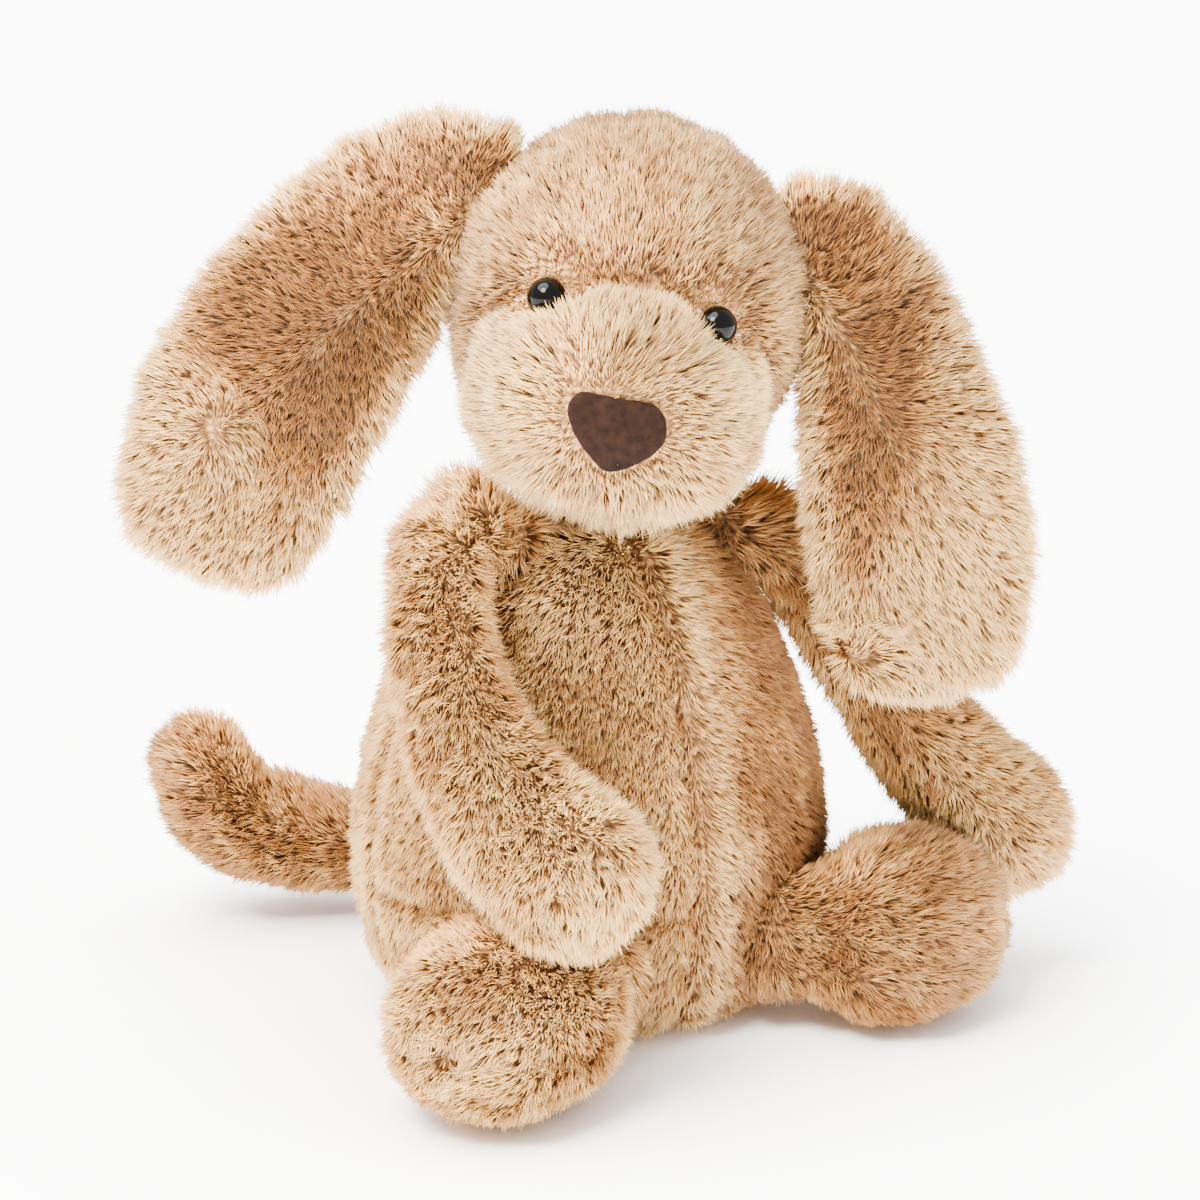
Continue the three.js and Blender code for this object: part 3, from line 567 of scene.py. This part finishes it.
def layPile(body):
    # marks each point of the skin with the pile's lay, length and cover, and sinks the seams
    mesh = skins[body].data
    look = pileSettings[body]
    p, n = coords(mesh), normals(mesh)
    toPanel = np.stack([distances(panelTrees[name], p, 12) for name in panels[body]])
    seam = np.sort(toPanel, axis=0)[1] if len(panels[body]) > 1 else np.full(len(p), 12.0)
    gap = np.min([distances(skinTrees[other], p, 14) for other in skins if other != body], axis=0)
    lay = unit(alongSkin(unit(look["lay"](p, n)), n))
    length = np.full(len(p), float(look["length"]))
    if body == "torso":
        length = length + lengthLook["torsoTop"] * smoothStep(p[:, 2], 85 * mm, 105 * mm)
    if body.startswith("arm"):
        length = length + lengthLook["shoulder"] * nearness(p, sewnPoint[body] + 16 * mm * up, 24)
    if body == "head":
        below = smoothStep(-(p - headMiddle) @ headUp, 15 * mm, 35 * mm)
        length = length + lengthLook["underChin"] * below
    cover = smoothStep(gap, 0.4, 1.5)
    length = np.minimum(length, lengthLook["squeezed"] + gap)
    under = smoothStep(-n[:, 2], 0.6, 0.95) * smoothStep(p[:, 2], 22 * mm, 8 * mm)
    length = length * (1 - lengthLook["seatLoss"] * under)
    if body == "head":
        nose, eyes = distances(noseTree, p, 20), distances(eyeTree, p, 20)
        cover = cover * smoothStep(nose, 0.3, 1.2) * smoothStep(eyes, 0.2, 1.0)
        length = length * (0.5 + 0.5 * smoothStep(nose, 0.5, 9)) * (0.3 + 0.7 * smoothStep(eyes, 0.5, 8))
        # the muzzle is a ball of its own: the skull dips in above it and its upper edge stands proud
        ball, above = onMuzzle(p), smoothStep((p - muzzleMiddle) @ headUp, 2 * mm, 12 * mm)
        crease = np.exp(-((ball - 1.2) / 0.12) ** 2) * above
        ledge = np.exp(-((ball - 1.0) / 0.05) ** 2) * above
        sunk, proud = muzzleLook["crease"] * mm * crease, muzzleLook["ledge"] * mm * ledge
        p = p - n * sunk[:, None] + n * proud[:, None]
        length = length * (1 - 0.45 * crease) * (1 + 0.25 * ledge)
    tone = np.zeros(len(p))
    if body == "head":
        tone = toneLook["muzzle"] * (1 - smoothStep(ball, 1.04, 1.16))
        # painted shade in the crease above the muzzle, and painted light along its proud upper edge
        tone = tone + toneLook["ledge"] * ledge + toneLook["crease"] * crease
    if body.startswith("ear"):
        # painted shade down the middle of the front face, where the pile is shorter; painted light over the
        # rest of the ear, most at the tip, and full pile at the rim
        middleShare = smoothStep(seam, 3, 7.5) * smoothStep(n @ headFront, 0.0, 0.5)
        crownNear = nearness(p, earCrown(body, p), 16)
        if body == "ear_left":
            sideways = -(p - p.mean(axis=0)) @ headSide
            middleShare = middleShare * (0.25 + 0.75 * smoothStep(sideways, -2 * mm, 6 * mm))
        tip = smoothStep(np.linalg.norm(p - sewnPoint[body], axis=1), 60 * mm, 85 * mm)
        paintedMiddleShade = toneLook["earMiddle"] * middleShare * (1 - 0.5 * crownNear) * (1 - 0.6 * tip)
        tone = toneLook["earRim"] + toneLook["earTip"] * tip + paintedMiddleShade
        length = length * (1.05 - 0.25 * middleShare)
    if body.startswith(("arm", "leg")):
        near, far = (30, 70) if body.startswith("leg") else (55, 85)
        end = smoothStep(np.linalg.norm(p - sewnPoint[body], axis=1), near * mm, far * mm)
        tone = toneLook["limbEnd"] * end + toneLook["limbRoot"]
    if body == "leg_right":
        # painted shade on the upward-facing top of the right foot
        tone = tone + toneLook["paintedFootTopShade"] * smoothStep(n[:, 2], 0.4, 0.9)
    if body == "arm_left":
        # painted shade over the left arm, on the side turned away from the key light
        tone = tone + toneLook["paintedLeftArmShade"]
    if body in ("leg_left", "tail"):
        # painted shade over the left leg and tail, which lie in shadow under the arm and ear
        tone = np.full(len(p), toneLook["paintedLeftLegAndTailShade"])
    if body == "torso":
        # the lower right front is cut in two, with a seam across it
        elsewhere = (p[:, 0] > sewnPoint["neck"][0]) | (p[:, 1] > 0)
        across = np.abs(p[:, 2] - seamLook["crossHeight"] * mm) / mm + 12 * elsewhere
        seam = np.minimum(seam, across)
        # painted shade over the toy's left side of the front, turned away from the key light
        tone = toneLook["front"] + toneLook["paintedLeftFrontShade"] * smoothStep(p[:, 0], 0.0, 25 * mm)
    strength, beside = seamStrength(body), seam - seamLook["beside"]
    sink = strength * np.exp(-(seam / seamLook["width"]) ** 2) * mm
    ridge = seamLook["raised"] * strength * np.exp(-(beside / seamLook["width"]) ** 2) * mm
    p = p - n * (sink - ridge)[:, None]
    dark = seamLook["dark"] * strength * np.exp(-(seam / seamLook["darkWidth"]) ** 2) / 1.5
    pale = seamLook["pale"] * strength * np.exp(-(beside / seamLook["paleWidth"]) ** 2) / 1.5
    tone = tone - dark + pale
    if body in ("torso", "leg_right", "leg_left", "tail"):
        p[:, 2] = np.maximum(p[:, 2], floorGap * mm)
    mesh.vertices.foreach_set("co", p.ravel())
    mesh.update()
    store(mesh, "lay", "FLOAT_VECTOR", lay)
    store(mesh, "pileLength", "FLOAT", length * mm)
    store(mesh, "cover", "FLOAT", cover)
    store(mesh, "tone", "FLOAT", tone)


for body in skins:
    layPile(body)
print("pile laid on the skins")


# plush: the strands on each cloth panel

def makeStrand():
    # one closed strand of four faces, 1 long and 1 wide, bowed towards +X; strandPlace holds (side, along)
    points = [(0, 0, 0), (0.9, -0.5, 0.45), (0.9, 0.5, 0.45), (0, 0, 1)]
    faces = [(0, 2, 1), (3, 1, 2), (0, 1, 3), (0, 3, 2)]
    strand = meshObject("strandShape", points, faces)
    strand.data.shade_smooth()
    place = strand.data.attributes.new("strandPlace", "FLOAT_VECTOR", "POINT")
    for item, value in zip(place.data, [(0, 0, 0), (-1, 0.45, 0), (1, 0.45, 0), (0, 1, 0)]):
        item.vector = value
    return strand


def makePileTree(strand):
    tree = bpy.data.node_groups.new("plushPile", "GeometryNodeTree")
    face = tree.interface
    face.new_socket("Geometry", in_out="INPUT", socket_type="NodeSocketGeometry")
    sizes = {"Density": 2.5, "Width": 0.32, "Clump Spacing": 2.0, "Lie": 0.7, "Lean": 0.5, "Frizz": 0.3,
             "Sway": 0.9, "Pull": 0.36, "Floor": 0.3}
    for name, value in sizes.items():
        face.new_socket(name, in_out="INPUT", socket_type="NodeSocketFloat").default_value = value
    face.new_socket("Seed", in_out="INPUT", socket_type="NodeSocketInt")
    face.new_socket("Material", in_out="INPUT", socket_type="NodeSocketMaterial")
    face.new_socket("Geometry", in_out="OUTPUT", socket_type="NodeSocketGeometry")
    given = tree.nodes.new("NodeGroupInput").outputs

    def add(kind, links=None, **settings):
        return addNode(tree, kind, links, **settings)

    def maths(operation, *values):
        return add("ShaderNodeMath", dict(enumerate(values)), operation=operation).outputs[0]

    def vectors(operation, *values, scale=None):
        links = dict(enumerate(values))
        if scale is not None:
            links["Scale"] = scale
        node = add("ShaderNodeVectorMath", links, operation=operation)
        return node.outputs["Value" if operation in ("LENGTH", "DOT_PRODUCT") else "Vector"]

    def anyVector(reach, seed):
        node = add("FunctionNodeRandomValue", {0: (-1, -1, -1), 1: (1, 1, 1), 8: seed},
                   data_type="FLOAT_VECTOR")
        return vectors("SCALE", node.outputs[0], scale=reach)

    def anyNumber(low, high, seed):
        return add("FunctionNodeRandomValue", {2: low, 3: high, 8: seed}, data_type="FLOAT").outputs[1]

    def named(name, kind):
        return add("GeometryNodeInputNamedAttribute", {"Name": name}, data_type=kind).outputs["Attribute"]

    def seeded(number):
        return maths("ADD", given["Seed"], float(number))

    perMetre = 1e6
    lay, longness, cover = named("lay", "FLOAT_VECTOR"), named("pileLength", "FLOAT"), named("cover", "FLOAT")
    place = add("GeometryNodeInputPosition").outputs[0]
    upright = maths("SUBTRACT", 1.0, maths("MULTIPLY", given["Lie"], 0.55))

    def leaning(normal, wildness, seed):
        swayNoise = add("ShaderNodeTexNoise", {"Vector": place, "Scale": 1 / (9 * mm), "Detail": 1.0},
                        noise_dimensions="3D")
        eachSide = vectors("SUBTRACT", swayNoise.outputs["Color"], (0.5, 0.5, 0.5))
        sway = vectors("SCALE", eachSide, scale=given["Sway"])
        lain = vectors("SCALE", lay, scale=given["Lie"])
        base = vectors("ADD", vectors("SCALE", normal, scale=upright), lain)
        loose = vectors("ADD", sway, anyVector(wildness, seed))
        return vectors("NORMALIZE", vectors("ADD", base, loose))

    # clump centres, and the tip that the strands of each clump lean to
    spacing = maths("MULTIPLY", given["Clump Spacing"], given["Clump Spacing"])
    perClump = maths("DIVIDE", perMetre, spacing)
    clumps = add("GeometryNodeDistributePointsOnFaces",
                 {"Mesh": given["Geometry"], "Density": perClump, "Seed": seeded(11)},
                 distribute_method="RANDOM")
    clumpLength = maths("MULTIPLY", longness, anyNumber(0.75, 1.15, seeded(3)))
    clumpWay = leaning(clumps.outputs["Normal"], given["Lean"], seeded(5))
    clumpTip = vectors("ADD", place, vectors("SCALE", clumpWay, scale=clumpLength))

    thickness = maths("MULTIPLY", maths("MULTIPLY", given["Density"], perMetre), cover)
    strands = add("GeometryNodeDistributePointsOnFaces",
                  {"Mesh": given["Geometry"], "Seed": seeded(1), "Density": thickness},
                  distribute_method="RANDOM")
    centres = clumps.outputs["Points"]
    nearest = add("GeometryNodeSampleNearest", {"Geometry": centres}, domain="POINT").outputs[0]
    tipThere = add("GeometryNodeSampleIndex", {"Geometry": centres, "Value": clumpTip, "Index": nearest},
                   data_type="FLOAT_VECTOR", domain="POINT").outputs[0]
    clumpTone = anyNumber(-0.5, 0.5, seeded(7))
    clumpShade = add("GeometryNodeSampleIndex", {"Geometry": centres, "Value": clumpTone, "Index": nearest},
                     data_type="FLOAT", domain="POINT").outputs[0]
    ownLength = maths("MULTIPLY", longness, anyNumber(0.7, 1.1, seeded(2)))
    ownWay = leaning(strands.outputs["Normal"], given["Frizz"], seeded(4))
    ownTip = vectors("ADD", place, vectors("SCALE", ownWay, scale=ownLength))
    tip = add("ShaderNodeMix", {0: given["Pull"], 4: ownTip, 5: tipThere}, data_type="VECTOR").outputs[1]
    floorHeight = maths("MULTIPLY", given["Floor"], mm)
    lowest = add("ShaderNodeCombineXYZ", {0: -10.0, 1: -10.0, 2: floorHeight}).outputs[0]
    reach = vectors("SUBTRACT", vectors("MAXIMUM", tip, lowest), place)
    width = maths("MULTIPLY", maths("MULTIPLY", given["Width"], mm), anyNumber(0.7, 1.3, seeded(6)))
    size = add("ShaderNodeCombineXYZ", {0: width, 1: width, 2: vectors("LENGTH", reach)}).outputs[0]
    curl = vectors("ADD", lay, (0.0, 0.0, -0.4))
    turn = add("FunctionNodeAxesToRotation", {"Primary Axis": reach, "Secondary Axis": curl},
               primary_axis="Z", secondary_axis="X")
    shape = add("GeometryNodeObjectInfo", {"Object": strand}, transform_space="ORIGINAL").outputs["Geometry"]
    placed = add("GeometryNodeInstanceOnPoints", {"Points": strands.outputs["Points"], "Instance": shape,
                 "Rotation": turn.outputs[0], "Scale": size}).outputs[0]
    patchNoise = add("ShaderNodeTexNoise", {"Vector": place, "Scale": 1 / (14 * mm), "Detail": 2.0})
    patches = patchNoise.outputs["Fac"]
    # the tone read here holds the painted light and painted shade laid on the skins, with random tone added
    # for each strand
    own = maths("ADD", named("tone", "FLOAT"), anyNumber(-0.15, 0.2, seeded(8)))
    shade = maths("ADD", maths("ADD", patches, maths("MULTIPLY", clumpShade, 0.35)), own)
    kept = maths("MINIMUM", maths("MAXIMUM", shade, 0.0), 1.0)
    marked = add("GeometryNodeStoreNamedAttribute", {"Geometry": placed, "Name": "shade", "Value": kept},
                 data_type="FLOAT", domain="INSTANCE").outputs[0]
    real = add("GeometryNodeRealizeInstances", {"Geometry": marked}).outputs[0]
    parts = add("ShaderNodeSeparateXYZ", {0: named("strandPlace", "FLOAT_VECTOR")})
    column = maths("MULTIPLY_ADD", named("shade", "FLOAT"), 0.84, 0.02)
    across = maths("ADD", column, maths("MULTIPLY", parts.outputs[0], 0.008))
    along = maths("MULTIPLY_ADD", parts.outputs[1], 0.96, 0.02)
    chart = add("ShaderNodeCombineXYZ", {0: across, 1: along}).outputs[0]
    mapped = add("GeometryNodeStoreNamedAttribute", {"Geometry": real, "Name": "OFBake", "Value": chart},
                 data_type="FLOAT2", domain="CORNER").outputs[0]
    dressed = add("GeometryNodeSetMaterial", {"Geometry": mapped, "Material": given["Material"]}).outputs[0]
    output = tree.nodes.new("NodeGroupOutput")
    tree.links.new(dressed, output.inputs[0])
    return tree


def setInputs(modifier, tree, values):
    sockets = [item for item in tree.interface.items_tree if item.item_type == "SOCKET"]
    names = {item.name: item.identifier for item in sockets if item.in_out == "INPUT"}
    for name, value in values.items():
        modifier[names[name]] = value


def clothPatch(name, skin, faces, thickness):
    # the part of a skin that one panel covers: its outer surface, and the same with a wall behind it
    source = skin.data
    used = sorted({v for f in faces for v in source.polygons[f].vertices})
    new = {v: i for i, v in enumerate(used)}
    outer = [tuple(new[v] for v in source.polygons[f].vertices) for f in faces]
    p, n = coords(source)[used], normals(source)[used]
    surface = meshObject(name + "_surface", p.tolist(), outer)
    for key in ("lay", "pileLength", "cover", "tone"):
        kind, field, size = ("FLOAT_VECTOR", "vector", 3) if key == "lay" else ("FLOAT", "value", 1)
        values = np.empty(len(source.vertices) * size, dtype=np.float32)
        source.attributes[key].data.foreach_get(field, values)
        store(surface.data, key, kind, values.reshape(len(source.vertices), -1)[used])
    edges = {}
    for face in outer:
        for a, b in zip(face, face[1:] + face[:1]):
            edges[(a, b)] = True
    rim = [(a, b) for a, b in edges if (b, a) not in edges]
    count = len(used)
    walls = [tuple(count + v for v in reversed(face)) for face in outer]
    walls += [(b, a, a + count, b + count) for a, b in rim]
    wall = meshObject(name, p.tolist() + (p - n * thickness * mm).tolist(), outer + walls)
    return surface, wall


def mapCloth(mesh):
    # the cloth keeps to the last strip of the map, beside the strands
    layer = mesh.uv_layers.new(name="OFBake")
    p = coords(mesh)
    low, high = p.min(axis=0), p.max(axis=0)
    q = (p - low) / np.maximum(high - low, 1e-6)
    loops = np.empty(len(mesh.loops), dtype=np.int32)
    mesh.loops.foreach_get("vertex_index", loops)
    chart = np.stack([0.90 + 0.09 * q[loops, 0], 0.02 + 0.96 * q[loops, 2]], axis=1)
    layer.data.foreach_set("uv", chart.ravel())


def joinInto(target, *others):
    with bpy.context.temp_override(active_object=target, object=target, selected_objects=[target, *others],
                                   selected_editable_objects=[target, *others]):
        bpy.ops.object.join()


strandShape = makeStrand()
pileTree = makePileTree(strandShape)


def makePlush(body):
    skin, look = skins[body], pileSettings[body]
    centres = np.empty(len(skin.data.polygons) * 3)
    skin.data.polygons.foreach_get("center", centres)
    centres = centres.reshape(-1, 3)
    toPanel = np.stack([distances(panelTrees[name], centres, 40) for name in panels[body]])
    nearest = np.argmin(toPanel, axis=0)
    for number, node in enumerate(panels[body]):
        faces = np.nonzero(nearest == number)[0].tolist()
        surface, cloth = clothPatch("plush_" + node, skin, faces, 1.1)
        cloth.data.materials.append(backingMaterial)
        mapCloth(cloth.data)
        modifier = surface.modifiers.new("pile", "NODES")
        modifier.node_group = pileTree
        setInputs(modifier, pileTree, {"Density": look["density"], "Clump Spacing": look["clumps"],
                                       "Lie": look["lie"], "Lean": look["lean"], "Seed": 100 * number + 7,
                                       "Material": pileMaterial})
        finished(surface)
        for spare in ("lay", "pileLength", "cover", "tone", "shade", "strandPlace"):
            if spare in surface.data.attributes:
                surface.data.attributes.remove(surface.data.attributes[spare])
        count = len(surface.data.polygons)
        joinInto(cloth, surface)
        cloth.data.shade_smooth()
        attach(cloth, body)
        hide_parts(node)
        triangles = sum(len(f.vertices) - 2 for f in cloth.data.polygons)
        print("plush", node, "strands", count // 4, "triangles", triangles)


for body in skins:
    makePlush(body)
bpy.data.objects.remove(strandShape)
for skin in skins.values():
    bpy.data.objects.remove(skin)


# what is inside: fillings and bean pouches

def makeFilling(body, node):
    pad = remeshed("filling_" + node, [node], 3.0, 4)
    beans = node.endswith("bean_pouch")
    pad.data.materials.append(beanMaterial if beans else fibreMaterial)
    pad.data.shade_smooth()
    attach(pad, body)
    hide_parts(node)


for body, names in bodies.items():
    for node in names:
        if node.endswith(("_stuffing", "_filling", "_bean_pouch")):
            makeFilling(body, node)
print("fillings made")


# eyes, washers, nose and label

eyeSettings = {"radius": 4.5, "height": 4.6, "rings": 14, "around": 40, "shank": 1.3, "shankLength": 6.4}


def lathe(name, profile, around, place, axis):
    # turns a profile of (radius, height) in mm, which starts and ends on the axis, round the axis
    up = Vector(axis).normalized()
    turn = Matrix.Translation(Vector(place)) @ up.to_track_quat("Z", "Y").to_matrix().to_4x4()
    points, faces = [], []
    inner = profile[1:-1]
    for radius, height in inner:
        for k in range(around):
            a = 2 * math.pi * k / around
            points.append(turn @ (Vector((radius * math.cos(a), radius * math.sin(a), height)) * mm))
    start, end = len(points), len(points) + 1
    points += [turn @ (Vector((0, 0, profile[0][1])) * mm), turn @ (Vector((0, 0, profile[-1][1])) * mm)]
    for k in range(around):
        m = (k + 1) % around
        faces.append((start, m, k))
        faces.append((end, (len(inner) - 1) * around + k, (len(inner) - 1) * around + m))
        for r in range(len(inner) - 1):
            faces.append((r * around + k, r * around + m, (r + 1) * around + m, (r + 1) * around + k))
    obj = meshObject(name, points, faces)
    shape = bmesh.new()
    shape.from_mesh(obj.data)
    bmesh.ops.recalc_face_normals(shape, faces=shape.faces)
    shape.to_mesh(obj.data)
    shape.free()
    obj.data.shade_smooth()
    return obj


def makeEye(side):
    look = eyeSettings
    joined = nodeMesh(["eye_" + side])
    points = np.array([v.co for v in joined.verts])
    joined.free()
    ring = nodeMesh(["eye_washer_" + side])
    washer = np.array([v.co for v in ring.verts]).mean(axis=0)
    ring.free()
    axis = unit(points.mean(axis=0) - washer)
    along = (points - washer) @ axis / mm
    top = along.max()
    place = washer + axis * (top - look["height"]) * mm
    dome = [(look["radius"] * math.cos(a), look["height"] * math.sin(a) - 0.2)
            for a in (math.pi / 2 * k / look["rings"] for k in range(look["rings"]))]
    profile = [(0, -look["shankLength"]), (look["shank"], -look["shankLength"]), (look["shank"], -0.4),
               (4.2, -0.4), *dome, (0, look["height"] - 0.2)]
    eye = lathe("eyeball_" + side, profile, look["around"], place, axis)
    eye.data.materials.append(eyeMaterial)
    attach(eye, "head")
    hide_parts("eye_" + side)


def makeNose():
    # a pad of napped suede: softly dished in the middle, rounded over at its rim, with a very short nap
    pad = remeshed("nose", ["nose_patch"], 0.55, 4)
    p, n = coords(pad.data), normals(pad.data)
    away = p - nosePlace
    fromMiddle = np.linalg.norm(away - np.outer(away @ headFront, headFront), axis=1) / mm
    front = smoothStep(n @ headFront, 0.2, 0.7)
    p = p + np.outer(front * (0.9 - 0.9 * np.exp(-(fromMiddle / 5.5) ** 2)) * mm, headFront)
    pad.data.vertices.foreach_set("co", p.ravel())
    pad.data.update()
    pad.data.materials.append(suedeMaterial)
    pad.data.shade_smooth()
    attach(pad, "head")
    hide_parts("nose_patch")


def makeLabel():
    # a blank woven ribbon, folded in half, with its two ends sewn into the side seam
    joined = nodeMesh(["care_label"])
    p = np.array([v.co for v in joined.verts])
    joined.free()
    middlePoint = p.mean(axis=0)
    outwards = unit(middlePoint * (1, 1, 0))
    across = np.array((0.0, 0.0, 1.0))
    reach = np.abs((p - middlePoint) @ outwards).max()
    half = np.abs((p - middlePoint) @ across).max()
    sideways = np.cross(outwards, across)
    bow = [(-1, 0.22), (-0.4, 0.24), (0.3, 0.26), (0.8, 0.24), (0.97, 0.15), (1, 0.0), (0.97, -0.15),
           (0.8, -0.24), (0.3, -0.26), (-0.4, -0.24), (-1, -0.22)]  # share of the reach, and mm to the side
    path = [(reach * share, side) for share, side in bow]
    rows, count = 9, len(path)
    points = [middlePoint + outwards * x + sideways * y * mm + across * half * (2 * r / (rows - 1) - 1)
              for r in range(rows) for x, y in path]
    faces = [(r * count + k, r * count + k + 1, (r + 1) * count + k + 1, (r + 1) * count + k)
             for r in range(rows - 1) for k in range(count - 1)]
    label = meshObject("label_ribbon", [tuple(q) for q in points], faces)
    wall = label.modifiers.new("wall", "SOLIDIFY")
    wall.thickness = 0.12 * mm
    wall.offset = 0
    finished(label)
    label.data.materials.append(ribbonMaterial)
    label.data.shade_smooth()
    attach(label, "torso")
    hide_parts("care_label")


for side in ("right", "left"):
    makeEye(side)
    washer = frame["nodes"]["eye_washer_" + side]
    washer.data.materials.clear()
    washer.data.materials.append(washerMaterial)
makeNose()
makeLabel()
print("eyes, washers, nose and label made")
